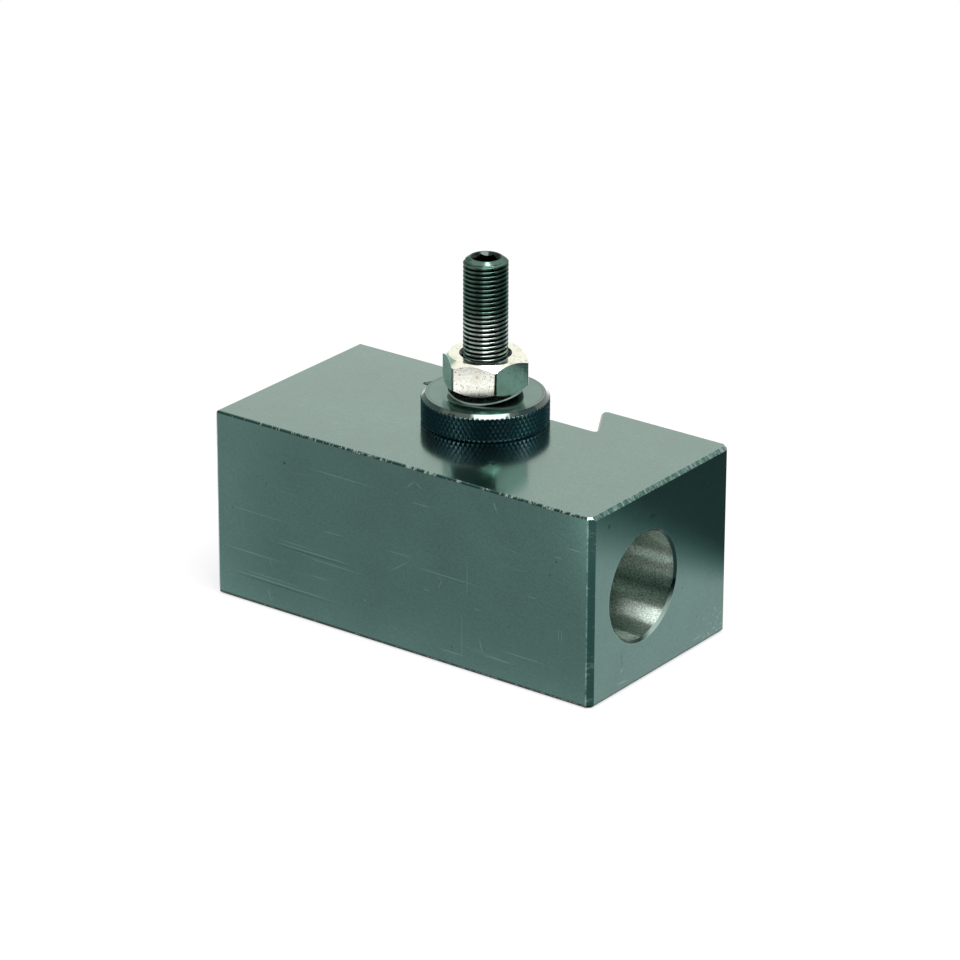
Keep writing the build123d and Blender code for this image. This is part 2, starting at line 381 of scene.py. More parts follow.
def blackened_ground_steel(finish):
    """Tool steel, ground flat, blackened in a hot oxide bath and oiled, with its socket ground bright afterwards.

    The eye sees a dark green-grey mirror with a fine even grain, pale scratches where the thin oxide is cut,
    level chamfers rubbed bright in streaks, and darker filed edges.
    """
    material, add = new_material("blackened_ground_steel")
    place = place_in_mm(add, (0.0, 0.0, 0.0))
    half = (block_high - block_low) / 2 * PER_MM
    middle = (block_high + block_low) / 2 * PER_MM

    # How deep a point lies under each pair of outer faces
    from_middle = add("VectorMath", [place, middle], operation="SUBTRACT")
    from_middle = add("VectorMath", [from_middle], operation="ABSOLUTE")
    depth = add("VectorMath", [half, from_middle], operation="SUBTRACT")
    x_depth, y_depth, z_depth = add("SeparateXYZ", [depth]).outputs
    x_side, y_side, z_side = add("SeparateXYZ", [place]).outputs

    # The chamfers at the ends, level and upright: a point on one is as deep under both its faces together
    # as the chamfer is wide. The streaks of their cutter lie square across them, about 0.4 mm apart.
    both = add("Math", [x_depth, z_depth], operation="ADD")
    rear, mouth_end = REAR_LEVEL_CHAMFER * PER_MM, MOUTH_LEVEL_CHAMFER * PER_MM
    reach = add("MapRange", [x_side, -1.0, 1.0, rear, mouth_end])
    level = add("Math", [both, reach, CHAMFER_BAND], operation="COMPARE")
    both = add("Math", [x_depth, y_depth], operation="ADD")
    upright = add("Math", [both, END_CHAMFER * PER_MM, CHAMFER_BAND], operation="COMPARE")
    cut = add("Mapping", {"Vector": place, "Scale": (0.25, 1.0, 0.25)})
    cut = add("TexNoise", {"Vector": cut, "Scale": 1.6, "Detail": 3.0, "Roughness": 0.7})
    worn = add("MapRange", [cut, 0.46, 0.62, 0.04])
    for factor in (level, finish.wear):
        worn = add("Math", [worn, factor], operation="MULTIPLY")
    handled = add("Mapping", {"Vector": place, "Scale": (0.3, 0.3, 1.0)})
    handled = add("TexNoise", {"Vector": handled, "Scale": 0.6, "Detail": 4.0, "Roughness": 0.7})
    scuffed = add("MapRange", [handled, 0.58, 0.75, 0.0, 0.5])
    scuffed = add("Math", [scuffed, upright], operation="MULTIPLY")
    worn = add("Math", [worn, scuffed], operation="MAXIMUM")

    # The upright chamfer's rounded front edge, rubbed to a ragged light line
    burr = add("MapRange", [y_depth, 0.26, 0.12])
    ragged = add("MapRange", [handled, 0.35, 0.62, 0.1, 0.7])
    for factor in (ragged, upright):
        burr = add("Math", [burr, factor], operation="MULTIPLY")

    # The edges along the block, broken by hand with a file, more at the foot than at the top: dark, with
    # light ticks
    corner = add("Math", [y_depth, z_depth], operation="ADD")
    wider = add("Math", [z_side, middle.z], operation="LESS_THAN")
    corner = add("Math", [wider, (TOP_EDGE_BREAK - LOWER_EDGE_BREAK) * PER_MM, corner], operation="MULTIPLY_ADD")
    edge_break = TOP_EDGE_BREAK * PER_MM
    corner = add("MapRange", [corner, edge_break + 0.12, edge_break + 0.07])
    filed = add("Mapping", {"Vector": place, "Scale": (1.0, 0.3, 0.3)})
    filed = add("TexNoise", {"Vector": filed, "Scale": 1.5, "Detail": 3.0, "Roughness": 0.75})
    low = add("MapRange", [z_depth, 0.1, 0.16, 0.35])
    broken = add("Math", [corner, low], operation="MULTIPLY")
    ticks = add("MapRange", [x_side, -40.0, 20.0, 0.6, 0.53])
    ticks = add("Math", [filed, ticks], operation="GREATER_THAN")
    for factor in (corner, 0.7):
        ticks = add("Math", [ticks, factor], operation="MULTIPLY")

    # The foot of the block, painted dark up to 1 mm as the shadow where it stands on the floor
    foot = add("MapRange", [z_side, 1.05, 0.9, 0.0, 0.8])

    # Uneven depth of the oxide, in patches of about 15 mm, and a fine even grain of about 0.4 mm. Real grit
    # leaves lines 0.05 mm apart, drawn coarser so that they show.
    patches = add("TexNoise", {"Vector": place, "Scale": 0.07, "Detail": 4.0, "Roughness": 0.6})
    tone = add("MapRange", [patches, 0.3, 0.7, 0.93, 1.07])
    grain = add("Mapping", {"Vector": place, "Scale": (0.6, 0.6, 1.0)})
    grain = add("TexNoise", {"Vector": grain, "Scale": 2.6, "Detail": 2.0, "Roughness": 0.6})
    fine = add("MapRange", [grain, 0.3, 0.7, 0.88, 1.12])
    tone = add("Math", [tone, fine], operation="MULTIPLY")

    # Faint hairlines along the block, where two neighbouring bands of a stretched noise meet
    drawn = add("Mapping", {"Vector": place, "Rotation": (0.0, radians(0.8), 0.0), "Scale": (0.014, 0.45, 0.45)})
    drawn = add("TexNoise", {"Vector": drawn, "Scale": 1.0, "Detail": 1.0})
    thin = add("Math", [drawn, 0.5, 0.006], operation="COMPARE")
    where = add("TexNoise", {"Vector": place, "Scale": 0.06, "Detail": 3.0})
    where = add("MapRange", [where, 0.5, 0.62, 0.0, 0.1])
    hairlines = add("Math", [thin, where], operation="MULTIPLY")

    # The marks of use that have a place of their own: light scratches, and dark nicks
    front, end = block_low.y * PER_MM, block_high.x * PER_MM
    placed = []
    for on_front, on_end_face, strength in ((FRONT_SCRATCHES, END_SCRATCHES, 0.4), (FRONT_PITS, END_PITS, 0.75)):
        marks = marks_mask(add, place, on_front, front, False)
        more = marks_mask(add, place, on_end_face, end, True)
        marks = add("Math", [marks, more], operation="MAXIMUM")
        placed.append(add("Math", [marks, strength], operation="MULTIPLY"))
    light, dark = placed

    # Chips along the foot of the end face, most of them at its right corner
    toward = add("VectorMath", [place, (0.0, 1.0, -1.8)], operation="DOT_PRODUCT")
    toward = add("MapRange", [toward, -6.0, 24.0, 0.74, 0.52])
    chips = add("TexNoise", {"Vector": place, "Scale": 1.1, "Detail": 4.0, "Roughness": 0.7})
    chips = add("Math", [chips, toward], operation="GREATER_THAN")
    on_end = add("Math", [x_side, end - 0.05], operation="GREATER_THAN")
    for factor in (on_end, 0.4):
        chips = add("Math", [chips, factor], operation="MULTIPLY")

    # Pin-holes of about 0.3 mm
    pins = add("TexVoronoi", {"Vector": place, "Scale": 0.2})
    pins = add("MapRange", [pins, 0.036, 0.024, 0.0, 0.8])

    # The groove's top edges, made rough, and painted dark down to 0.4 mm as the shade in the groove
    rough_groove_shade = add("Math", [z_depth, 0.2, 0.19], operation="COMPARE")
    from_centre = add("Math", [x_side], operation="ABSOLUTE")
    in_groove = add("Math", [from_centre, GROOVE_HALF_WIDTH * PER_MM + 0.1], operation="LESS_THAN")
    back = add("Math", [y_side, GROOVE_FLOOR_Y * PER_MM - 0.4], operation="GREATER_THAN")
    for factor in (in_groove, back):
        rough_groove_shade = add("Math", [rough_groove_shade, factor], operation="MULTIPLY")
    for more in (pins, rough_groove_shade):
        dark = add("Math", [dark, more], operation="MAXIMUM")

    # Round the socket: its turned chamfer, dark, with a rub of bright steel low on its right side
    radial = add("VectorMath", [place, SOCKET_AXIS * PER_MM], operation="SUBTRACT")
    radial = add("VectorMath", [radial, (0.0, 1.0, 1.0)], operation="MULTIPLY")
    out = add("VectorMath", [radial], operation="LENGTH")
    mouth, flare = SOCKET_RADIUS * PER_MM, SOCKET_CHAMFER * PER_MM
    near_mouth = add("Math", [x_side, end - 1.0], operation="GREATER_THAN")
    ring = add("Math", [out, mouth + flare / 2, flare / 2 + 0.04], operation="COMPARE")
    ring = add("Math", [ring, near_mouth], operation="MULTIPLY")
    lip = add("Math", [out, mouth + flare + 0.08, 0.09], operation="COMPARE")
    for factor in (near_mouth, 0.3):
        lip = add("Math", [lip, factor], operation="MULTIPLY")
    rubbed = add("VectorMath", [radial, (0.0, 0.57, -0.82)], operation="DOT_PRODUCT")
    rubbed = add("MapRange", [rubbed, mouth * 0.82, mouth * 0.97, 0.0, 0.9])
    rubbed = add("Math", [rubbed, ring], operation="MULTIPLY")

    scratches = hairlines
    for more in (light, burr, chips, lip):
        scratches = add("Math", [scratches, more], operation="MAXIMUM")
    shade = add("VectorMath", {0: finish.steel[:3], "Scale": tone}, operation="SCALE")
    for factor, paint in (
        (level, finish.level),
        # The upright chamfers' darker colour is painted shade
        (upright, finish.upright),
        (ring, finish.ring),
        (broken, finish.broken),
        # The foot's dark colour is painted shade
        (foot, finish.broken),
        (ticks, finish.worn),
        (rubbed, finish.worn),
        (worn, finish.worn),
        (scratches, finish.scratch),
        (dark, finish.broken),
    ):
        shade = add("Mix", {"Factor": factor, "A": shade, "B": paint}, data_type="RGBA")

    smooth, dull = finish.roughness - 0.02, finish.roughness + 0.02
    rough = add("MapRange", [grain, 0.3, 0.7, smooth, dull])
    cut_face = add("Math", [level, upright], operation="MAXIMUM")
    for factor, rise in ((cut_face, 0.1), (rubbed, 0.45), (rough_groove_shade, 0.5)):
        rough = add("Math", [factor, rise, rough], operation="MULTIPLY_ADD")
    bare = upright
    for more in (ring, corner):
        bare = add("Math", [bare, more], operation="MAXIMUM")
    coat = add("MapRange", [bare, 0.0, 1.0, 1.0, 0.2])
    bump = add("Bump", {"Height": grain, "Strength": 0.05, "Distance": 0.02 * MM})
    inputs = {
        "Base Color": shade,
        "Metallic": 1.0,
        "Roughness": rough,
        "Coat Weight": coat,
        "Coat Roughness": 0.13,
        "Normal": bump,
    }
    blackened = add("BsdfPrincipled", inputs)

    # The socket, from its mouth to its end
    inside = add("MapRange", [out, mouth + 0.03, mouth - 0.05])
    socket_end = SOCKET_END * PER_MM
    ahead = add("MapRange", [x_side, socket_end, socket_end + 1.0])
    socket = add("Math", [inside, ahead], operation="MULTIPLY")
    wall = ground_socket_wall(add, place, finish.socket)
    add("OutputMaterial", {"Surface": add("MixShader", [socket, blackened, wall])})
    return material


def black_oxide_thread(size):
    """Threaded steel rod, blackened and oiled, with painted shade in its near-black roots and a light line on each
    crest.

    The crests are rubbed bright where the nuts have travelled.
    """
    material, add = new_material("black_oxide_thread")
    place, radial = place_round_stud(add)
    crest = (stud_high.x - stud_low.x) / 2 * PER_MM
    height = add("SeparateXYZ", [place]).outputs["Z"]
    tip = add("Math", [height, (stud_high.z - size.taper) * PER_MM], operation="GREATER_THAN")
    on_crest = add("MapRange", [radial, crest - 0.05, crest - 0.02])
    on_crest = add("Math", [on_crest, tip], operation="MAXIMUM")

    # Rubbed most below 70 mm, with a ragged upper end
    patches = add("TexNoise", {"Vector": place, "Scale": 0.4, "Detail": 3.0})
    uneven = add("Math", [patches, 8.0, height], operation="MULTIPLY_ADD")
    rubbed = add("MapRange", [uneven, 74.0, 70.0, 0.08, 0.8])
    rubbed = add("Mix", {"Factor": tip, "A": rubbed, "B": 0.1})
    rubbed = add("Math", [rubbed, on_crest], operation="MULTIPLY")
    # Painted shade: the thread's roots are darkened to 0.15 of the steel's colour, all but the tip
    root_shade = add("MapRange", [radial, crest - 0.42, crest - 0.1, 0.15])
    root_shade = add("Math", [root_shade, tip], operation="MAXIMUM")

    # Painted shade inside the key socket: within its mouth the steel and its rubbed crests are darkened to 0.1
    key_mouth = size.key_mouth / 2 * PER_MM
    outside = add("MapRange", [radial, key_mouth, key_mouth + 0.15, 0.1])
    root_shade, rubbed = (add("Math", [mask, outside], operation="MULTIPLY") for mask in (root_shade, rubbed))
    steel = add("VectorMath", {0: size.steel[:3], "Scale": root_shade}, operation="SCALE")
    shade = add("Mix", {"Factor": rubbed, "A": steel, "B": size.worn}, data_type="RGBA")
    fine = add("TexNoise", {"Vector": place, "Scale": 2.5, "Detail": 3.0})
    rough = add("MapRange", [fine, 0.0, 1.0, 0.24, 0.4])
    rough = add("Math", [on_crest, -0.16, rough], operation="MULTIPLY_ADD")
    inputs = {
        "Base Color": shade,
        "Metallic": 0.9,
        "Roughness": rough,
        "Specular Tint": size.sheen,
        "Coat Weight": 0.35,
        "Coat Roughness": 0.2,
    }
    shader = add("BsdfPrincipled", inputs)
    add("OutputMaterial", {"Surface": shader})
    return material


def turned_black_oxide(size):
    """Steel turned on a lathe, knurled on its rim, blackened and oiled.

    The eye sees a dark green-grey mirror with fine rings, a darker chamfer and a nearly black rim.
    """
    material, add = new_material("turned_black_oxide")
    place, radial = place_round_stud(add)
    rings = add("CombineXYZ", [radial])
    rings = add("TexNoise", {"Vector": rings, "Scale": 2.4, "Detail": 3.0, "Roughness": 0.7})
    patches = add("TexNoise", {"Vector": place, "Scale": 0.25, "Detail": 3.0})
    tone = add("MapRange", [patches, 0.3, 0.7, 0.88, 1.1])
    rim = (nut_high.x - nut_low.x) / 2 * PER_MM

    # Two grooves of the turning tool, at the chamfer and just inside it
    marks = add("Math", [radial, rim - 1.02, 0.12], operation="COMPARE")
    second = add("Math", [radial, rim - 1.6, 0.09], operation="COMPARE")
    marks = add("Math", [marks, second], operation="ADD")
    marks = add("Math", [marks, 0.8], operation="MULTIPLY")
    on_chamfer = add("MapRange", [radial, rim - 1.05, rim - 0.95])
    height = add("SeparateXYZ", [place]).outputs["Z"]
    below = add("Math", [height, (nut_high.z - size.top_chamfer) * PER_MM + 0.08], operation="LESS_THAN")
    on_rim = add("MapRange", [radial, rim - 0.6, rim - 0.4])
    on_rim = add("Math", [on_rim, below], operation="MULTIPLY")

    # Crests of the knurl, rubbed bright here and there
    crest = add("MapRange", [radial, rim - 0.12, rim - 0.02])
    crest = add("Math", [crest, below], operation="MULTIPLY")
    touched = add("TexNoise", {"Vector": place, "Scale": 0.9, "Detail": 2.0, "Roughness": 0.7})
    touched = add("MapRange", [touched, 0.6, 0.7, 0.0, 0.9])
    touched = add("Math", [touched, crest], operation="MULTIPLY")
    shade = add("VectorMath", {0: size.steel[:3], "Scale": tone}, operation="SCALE")
    for factor, paint in (
        (on_chamfer, size.chamfered),
        (marks, size.groove),
        (on_rim, size.rim),
        (touched, size.worn),
    ):
        shade = add("Mix", {"Factor": factor, "A": shade, "B": paint}, data_type="RGBA")
    rough = add("MapRange", [rings, 0.3, 0.7, 0.18, 0.27])
    for factor, rise in ((on_chamfer, -0.1), (on_rim, 0.32)):
        rough = add("Math", [factor, rise, rough], operation="MULTIPLY_ADD")
    bump = add("Bump", {"Height": rings, "Strength": 0.2, "Distance": 0.04 * MM})
    inputs = {
        "Base Color": shade,
        "Metallic": 1.0,
        "Roughness": rough,
        "Coat Weight": 0.6,
        "Coat Roughness": 0.12,
        "Normal": bump,
    }
    shader = add("BsdfPrincipled", inputs)
    add("OutputMaterial", {"Surface": shader})
    return material


def bright_zinc_plate(finish):
    """Steel nut with bright zinc plate.

    The eye sees a pale, soft mirror with a faint yellow cast and small brown pits.
    """
    material, add = new_material("bright_zinc_plate")
    place, radial = place_round_stud(add)
    cloud = add("TexNoise", {"Vector": place, "Scale": 0.35, "Detail": 4.0})
    cloud = add("MapRange", [cloud, 0.5, 0.7, 0.0, 0.45])
    pits = add("TexNoise", {"Vector": place, "Scale": 2.4, "Detail": 2.0})
    pits = add("MapRange", [pits, 0.63, 0.7, 0.0, 0.8])

    # Painted shade: the hole's countersunk thread is painted dark as the shade down in the hole, and the rounded
    # upright corners get a painted dark band as shade
    flare, corners = (NUT_HOLE / 2 + NUT_COUNTERSINK) * PER_MM, LOCK_NUT_CORNERS * PER_MM
    hole = add("MapRange", [radial, flare, flare - 0.05])
    # Painted shade on the rounded upright corners
    corner = add("MapRange", [radial, corners - 0.07, corners - 0.03, 0.0, 0.65])
    shade = finish.zinc
    for factor, paint in ((cloud, finish.cloud), (pits, finish.pit), (hole, finish.oiled), (corner, finish.corner_shade)):
        shade = add("Mix", {"Factor": factor, "A": shade, "B": paint}, data_type="RGBA")
    fine = add("TexNoise", {"Vector": place, "Scale": 1.5, "Detail": 3.0})
    rough = add("MapRange", [fine, 0.0, 1.0, 0.1, 0.2])
    bump = add("Bump", {"Height": fine, "Strength": 0.08, "Distance": 0.06 * MM})
    shader = add("BsdfPrincipled", {"Base Color": shade, "Metallic": 1.0, "Roughness": rough, "Normal": bump})
    add("OutputMaterial", {"Surface": shader})
    return material


def rolled_spring_steel(finish):
    """Cold rolled spring strip, hardened and oiled. The eye sees a grey sheet, with a painted highlight on its outer
    edge.
    """
    material, add = new_material("rolled_spring_steel")
    place, radial = place_round_stud(add)
    rolled = add("Mapping", {"Vector": place, "Rotation": (0.0, 0.0, radians(24)), "Scale": (0.1, 1.0, 1.0)})
    rolled = add("TexNoise", {"Vector": rolled, "Scale": 2.5, "Detail": 3.0})
    tone = add("MapRange", [rolled, 0.3, 0.7, 0.8, 1.2])
    steel = add("VectorMath", {0: finish.steel[:3], "Scale": tone}, operation="SCALE")
    outer = (washer_high.x - washer_low.x) / 2 * PER_MM
    # Painted highlight: the outer edge is painted near white, for the light that its rounding catches
    edge_highlight = add("MapRange", [radial, outer - 0.12, outer - 0.04])
    shade = add("Mix", {"Factor": edge_highlight, "A": steel, "B": finish.edge}, data_type="RGBA")
    rough = add("MapRange", [rolled, 0.0, 1.0, 0.2, 0.34])
    rough = add("Math", [edge_highlight, 0.4, rough], operation="MULTIPLY_ADD")
    shader = add("BsdfPrincipled", {"Base Color": shade, "Metallic": 0.9, "Roughness": rough})
    add("OutputMaterial", {"Surface": shader})
    return material


def studio_white(name):
    """Matt white paper for the floor, as seen in the room: white to the camera, and with a soft shadow.

    Metal sees painted shade on it: darker in front of the block, where the camera keeps the light off it, and black
    underneath.
    """
    material, add = new_material(name)
    place = add("TexCoord").outputs["Object"]
    away = add("VectorMath", [place], operation="LENGTH")
    lit = add("MapRange", [away, 0.1, 0.3, 0.75, 1.0], interpolation_type="SMOOTHSTEP")

    # How far outside the block's footprint a point lies
    half = (block_high - block_low) / 2
    beside = add("VectorMath", [place], operation="ABSOLUTE")
    beside = add("VectorMath", [beside, (half.x, half.y, 0.0)], operation="SUBTRACT")
    x_beside, y_beside, _ = add("SeparateXYZ", [beside]).outputs
    beside = add("Math", [x_beside, y_beside], operation="MAXIMUM")
    clear = add("MapRange", [beside, -1 * MM, 1 * MM])
    x_spot, y_spot, _ = add("SeparateXYZ", [place]).outputs

    # Where the front face looks: dim, a little lighter close to the block and at its left end. The slanting
    # measure is the place on the front face in which the camera sees a spot of the floor mirrored.
    seen_at = add("VectorMath", [place, (1.0, -0.743, 0.0)], operation="DOT_PRODUCT")
    near = add("MapRange", [y_spot, -60 * MM, -25 * MM])
    near = add("Math", [near, 2.4], operation="POWER")
    near = add("Math", [near, 0.17, 0.52], operation="MULTIPLY_ADD")
    behind = add("MapRange", [y_spot, -20 * MM, 30 * MM, 0.0, 0.35])
    near = add("Math", [near, behind], operation="ADD")
    left_end = add("MapRange", [seen_at, -32 * MM, -15 * MM, 1.33, 1.0])
    near = add("Math", [near, left_end], operation="MULTIPLY")

    # Where the right end looks: light, and a painted shadow further back, with an edge that softens to the right
    softness = add("MapRange", [x_spot, 65 * MM, 110 * MM, 8 * MM, 26 * MM])
    first = add("Math", [51 * MM, softness], operation="SUBTRACT")
    last = add("Math", [53 * MM, softness], operation="ADD")
    end_level = add("MapRange", [y_spot, first, last, 0.87, 0.115], interpolation_type="SMOOTHSTEP")
    at_end = add("Math", [x_spot, 51 * MM], operation="GREATER_THAN")
    level = add("Mix", {"Factor": at_end, "A": near, "B": end_level})

    # In front of the right end, and where the lock nut and the thread look: light again
    corner = add("MapRange", [seen_at, 70 * MM, 76 * MM])
    in_front = add("MapRange", [y_spot, -12 * MM, -24 * MM])
    corner = add("Math", [corner, in_front], operation="MULTIPLY")
    bright = add("MapRange", [y_spot, -75 * MM, -105 * MM, 0.8, 1.65])
    far = add("VectorMath", [place, (stud_axis.x, stud_axis.y, 0.0)], operation="DISTANCE")
    ahead = add("MapRange", [x_spot, 54 * MM, 60 * MM])
    left_fade, ahead_fade, ahead_rise = (
        add("MapRange", [far, start * MM, end * MM, 0.0, most])
        for start, end, most in ((149, 158, 1.55), (162, 169, 2.15), (133, 142, 0.9))
    )
    ahead_fade = add("Math", [ahead_fade, ahead_rise], operation="SUBTRACT")
    fade = add("Mix", {"Factor": ahead, "A": left_fade, "B": ahead_fade})
    bright = add("Math", [bright, fade], operation="SUBTRACT")
    level = add("Mix", {"Factor": corner, "A": level, "B": bright})
    aside = add("Math", [in_front, -36 * MM, x_spot], operation="MULTIPLY_ADD")
    aside = add("MapRange", [aside, 114 * MM, 130 * MM, 1.0, 0.3])
    for factor in (aside, clear):
        level = add("Math", [level, factor], operation="MULTIPLY")

    path = add("LightPath").outputs
    mirrored = add("Math", [path["Is Glossy Ray"], path["Is Transmission Ray"]], operation="MAXIMUM")
    strength = add("Mix", {"Factor": mirrored, "A": 1.0, "B": level})
    direct = add("Math", [path["Is Camera Ray"], lit], operation="MULTIPLY")
    glow = add("Math", [direct, mirrored], operation="MAXIMUM")
    paper = add("BsdfDiffuse", {"Color": linear(PAPER_WHITE)})
    # The painted shadow behind the right end is tinted green as the metal sees it
    green = add("MapRange", [end_level, 0.8, 0.2])
    for factor in (at_end, mirrored):
        green = add("Math", [green, factor], operation="MULTIPLY")
    tint = add("Mix", {"Factor": green, "A": linear(LIGHT_WHITE), "B": linear(GREEN_WHITE)}, data_type="RGBA")
    white = add("Emission", {"Color": tint, "Strength": strength})
    add("OutputMaterial", {"Surface": add("MixShader", [glow, paper, white])})
    return material


def studio_cloth(name, shade):
    """Matt cloth, hung out of the camera's sight. It shows only as a colour in the metal."""
    material, add = new_material(name)
    cloth = add("BsdfDiffuse", {"Color": linear(shade)})
    add("OutputMaterial", {"Surface": cloth})
    return material


def object_from(bm, name, material):
    """Object at the origin, with a bmesh as its mesh, which is freed, and one material."""
    mesh = bpy.data.meshes.new(name)
    bm.to_mesh(mesh)
    bm.free()
    item = bpy.data.objects.new(name, mesh)
    bpy.context.scene.collection.objects.link(item)
    use_material(item, material)
    return item


def add_piece(bm, name, material):
    """Piece from a bmesh, with its normals outwards, shaded smooth between its sharp edges."""
    bmesh.ops.recalc_face_normals(bm, faces=bm.faces)
    for face in bm.faces:
        face.smooth = True
    piece = object_from(bm, name, material)
    piece.data.set_sharp_from_angle(angle=SMOOTH_ANGLE)
    return piece


def spun(bm, points, steps, rise=0.0, close=False):
    """Spins a line of (radius, height) points once round the stud's axis, with a rise in the whole turn."""
    centre = Vector((stud_axis.x, stud_axis.y, 0.0))
    verts = [bm.verts.new(centre + Vector((radius, 0.0, height))) for radius, height in points]
    pairs = list(zip(verts, verts[1:]))
    if close:
        pairs.append((verts[-1], verts[0]))
    edges = [bm.edges.new(pair) for pair in pairs]
    bmesh.ops.spin(
        bm,
        geom=verts + edges,
        cent=centre,
        axis=(0.0, 0.0, 1.0),
        dvec=(0.0, 0.0, rise / steps),
        angle=2 * pi,
        steps=steps,
        use_merge=not rise,
    )
    bmesh.ops.remove_doubles(bm, verts=bm.verts, dist=MERGE_DISTANCE)


def from_axis(vert):
    """A vertex's radius from the stud's axis and its angle round it."""
    flat = Vector((vert.co.x - stud_axis.x, vert.co.y - stud_axis.y))
    return flat.length, Vector((1.0, 0.0)).angle_signed(flat, 0.0) if flat.length else 0.0


def set_radius(vert, radius):
    """Moves a vertex straight in or out, to that radius from the stud's axis."""
    flat = Vector((vert.co.x - stud_axis.x, vert.co.y - stud_axis.y)).normalized() * radius
    vert.co.x = stud_axis.x + flat.x
    vert.co.y = stud_axis.y + flat.y


class HOLDER_OT_finish_block(bpy.types.Operator):
    """Gives the holder block its blackened and ground finish"""

    bl_idname = "holder.finish_block"
    bl_label = "Finish Block"

    def execute(self, context):
        use_material(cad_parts["holder_block"], blackened_ground_steel(context.scene.holder_block))
        return {"FINISHED"}


class HOLDER_OT_make_stud(bpy.types.Operator):
    """Makes the height stud with its thread and key socket"""

    bl_idname = "holder.make_stud"
    bl_label = "Make Stud"

    def execute(self, context):
        size = context.scene.holder_stud
        crest = (stud_high.x - stud_low.x) / 2
        root = crest - size.depth
        lowest, highest = stud_low.z, stud_high.z

        # A tooth of the thread, as shares of the pitch and radii: flats joined by slopes, slightly eased
        rounding = 0.06 * size.depth
        tooth = [(0.08, root), (0.11, root + rounding), (0.31, crest - rounding), (0.34, crest)]
        tooth += [(1.0 - part, radius) for part, radius in reversed(tooth)]
        first = lowest - 1.5 * size.pitch
        count = round((highest - lowest) / size.pitch) + 3
        line = [(radius, first + (turn + part) * size.pitch) for turn in range(count) for part, radius in tooth]

        bm = bmesh.new()
        spun(bm, line, STUD_STEPS, rise=size.pitch)
        slope = (crest - size.tip / 2) / size.taper
        for vert in bm.verts:
            radius, _ = from_axis(vert)
            limit = size.tip / 2 + slope * min(highest - vert.co.z, vert.co.z - lowest)
            if radius > limit:
                set_radius(vert, max(limit, 0.1 * MM))
        for level, side in ((highest, 1.0), (lowest, -1.0)):
            everything = bm.verts[:] + bm.edges[:] + bm.faces[:]
            plane = {"plane_co": (0.0, 0.0, level), "plane_no": (0.0, 0.0, side)}
            bmesh.ops.bisect_plane(bm, geom=everything, dist=1e-7, clear_outer=True, **plane)
        bmesh.ops.remove_doubles(bm, verts=bm.verts, dist=MERGE_DISTANCE)
        top_rim, foot_rim = (
            [e for e in bm.edges if e.is_boundary and all(abs(v.co.z - level) < SAME_LEVEL for v in e.verts)]
            for level in (highest, lowest)
        )
        bmesh.ops.holes_fill(bm, edges=foot_rim, sides=0)

        # Key socket: a chamfered mouth that runs into the hexagon, the hexagon's wall, and the drill point
        place = Matrix.Translation((stud_axis.x, stud_axis.y, highest))
        mouth_radius, flat_radius = size.key_mouth / 2, size.key_flats / 2
        mouth = bmesh.ops.create_circle(bm, segments=STUD_STEPS, radius=mouth_radius, matrix=place)
        ring = list({edge for vert in mouth["verts"] for edge in vert.link_edges})
        bmesh.ops.bridge_loops(bm, edges=top_rim + ring)
        for at_mouth in (True, False):
            made = bmesh.ops.extrude_edge_only(bm, edges=ring)["geom"]
            for vert in (item for item in made if isinstance(item, bmesh.types.BMVert)):
                _, angle = from_axis(vert)
                hexagon = flat_radius / cos((angle + pi / 6) % (pi / 3) - pi / 6)
                vert.co.z = highest - (mouth_radius - hexagon if at_mouth else size.key_depth)
                set_radius(vert, hexagon)
            ring = [item for item in made if isinstance(item, bmesh.types.BMEdge)]
        made = bmesh.ops.extrude_edge_only(bm, edges=ring)["geom"]
        bottom = [item for item in made if isinstance(item, bmesh.types.BMVert)]
        drill_tip = highest - size.key_depth - flat_radius / tan(DRILL_POINT_HALF_ANGLE)
        bmesh.ops.pointmerge(bm, verts=bottom, merge_co=(stud_axis.x, stud_axis.y, drill_tip))

        stud = add_piece(bm, "threaded_stud", black_oxide_thread(size))
        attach(stud, "holder")
        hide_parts("height_stud")
        return {"FINISHED"}


